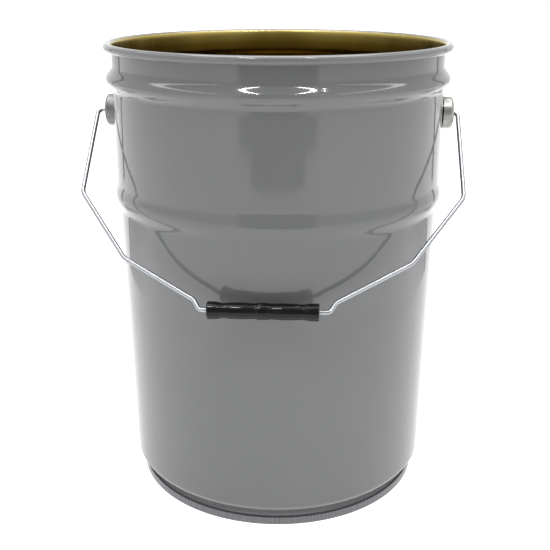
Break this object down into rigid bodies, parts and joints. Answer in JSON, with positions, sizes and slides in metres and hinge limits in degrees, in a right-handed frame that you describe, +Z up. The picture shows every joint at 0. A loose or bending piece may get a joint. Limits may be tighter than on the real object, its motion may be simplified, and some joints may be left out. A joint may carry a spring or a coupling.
{
  "type": "paint can",
  "caption": "Open tapered steel paint can with a rolled rim, two rolled beads, welded side ears, a swinging wire bail and a loose plastic grip.",
  "frame": {"origin": "on the can's axis, in the plane that the base seam stands on", "axes": "+Z up along the can's axis, X through the two ears, -Y towards the side where the bail hangs"},
  "size_m": [0.3408, 0.3269, 0.4226],
  "materials": {
    "body_paint": "gloss grey lacquer outside, clear gold lacquer inside",
    "base_paint": "semi-gloss grey lacquer with seaming marks outside, gold lacquer inside",
    "seam_compound": "dried sealing compound",
    "ear_steel": "bright plated, lightly worn",
    "bail_wire": "bright zinc-plated wire",
    "grip_plastic": "black moulded plastic, gloss"
  },
  "bodies": {
    "can": {"body_shell": "body_paint", "bottom_end": "base_paint", "seam_compound": "seam_compound", "ear_left": "ear_steel", "ear_right": "ear_steel"},
    "bail": {"bail_wire": "bail_wire"},
    "grip": {"bail_grip": "grip_plastic"}
  },
  "joints": [
    {"name": "bail_swing", "type": "hinge", "parent": "can", "child": "bail", "pos_m": [0, 0, 0.3581], "axis": [-1, 0, 0], "range_deg": [-1.5, 262.5]},
    {"name": "grip_spin", "type": "hinge", "parent": "bail", "child": "grip", "pos_m": [-0.0029, -0.1614, 0.2202], "axis": [1, 0, 0], "continuous": true}
  ]
}
